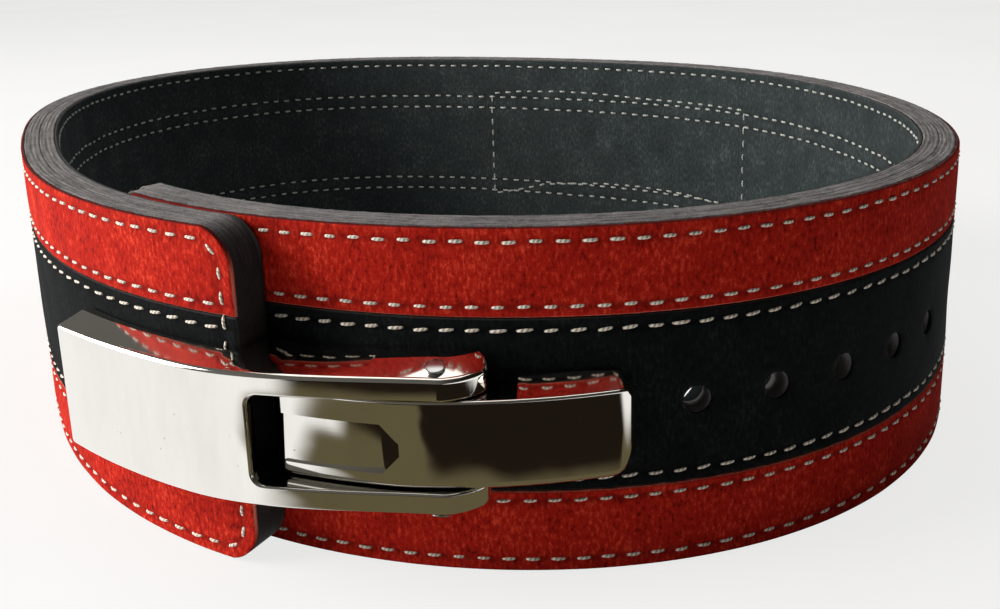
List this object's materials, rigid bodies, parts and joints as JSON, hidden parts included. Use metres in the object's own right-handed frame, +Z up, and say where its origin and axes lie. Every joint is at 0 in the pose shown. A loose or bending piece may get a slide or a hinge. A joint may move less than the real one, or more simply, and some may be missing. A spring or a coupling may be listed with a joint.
{
  "type": "weightlifting belt",
  "caption": "Wide two-ply suede lifting belt fastened in its loop, with edge bands, punched holes and a lever buckle whose lever swings open.",
  "frame": {"origin": "under the middle of the whole, at the level of the strap's lower edge", "axes": "+Z up along the strap's height, -Y out of the buckle's side, +X towards the punched holes"},
  "size_m": [0.3844, 0.404, 0.1],
  "materials": {
    "red_suede": "napped suede",
    "black_suede": "napped suede",
    "lining_suede": "napped suede",
    "cut_leather": "cut and dyed edge",
    "chrome": "polished",
    "pin_steel": "bright",
    "thread": "thick waxed thread"
  },
  "bodies": {
    "belt": {"core_inner_ply": "cut_leather", "core_outer_ply": "cut_leather", "lining_suede": "lining_suede", "outer_red_top": "red_suede", "outer_black_centre": "black_suede", "outer_red_bottom": "red_suede", "hinge_pin": "pin_steel", "base_plate": "chrome", "base_screw_1": "pin_steel", "base_screw_2": "pin_steel"},
    "lever": {"lever": "chrome", "lever_rivet_top": "pin_steel", "lever_rivet_bottom": "pin_steel"}
  },
  "joints": [
    {"name": "lever_hinge", "type": "hinge", "parent": "belt", "child": "lever", "pos_m": [0.01354, -0.19392, 0.0449], "axis": [0, 0, 1], "range_deg": [0, 120]}
  ]
}
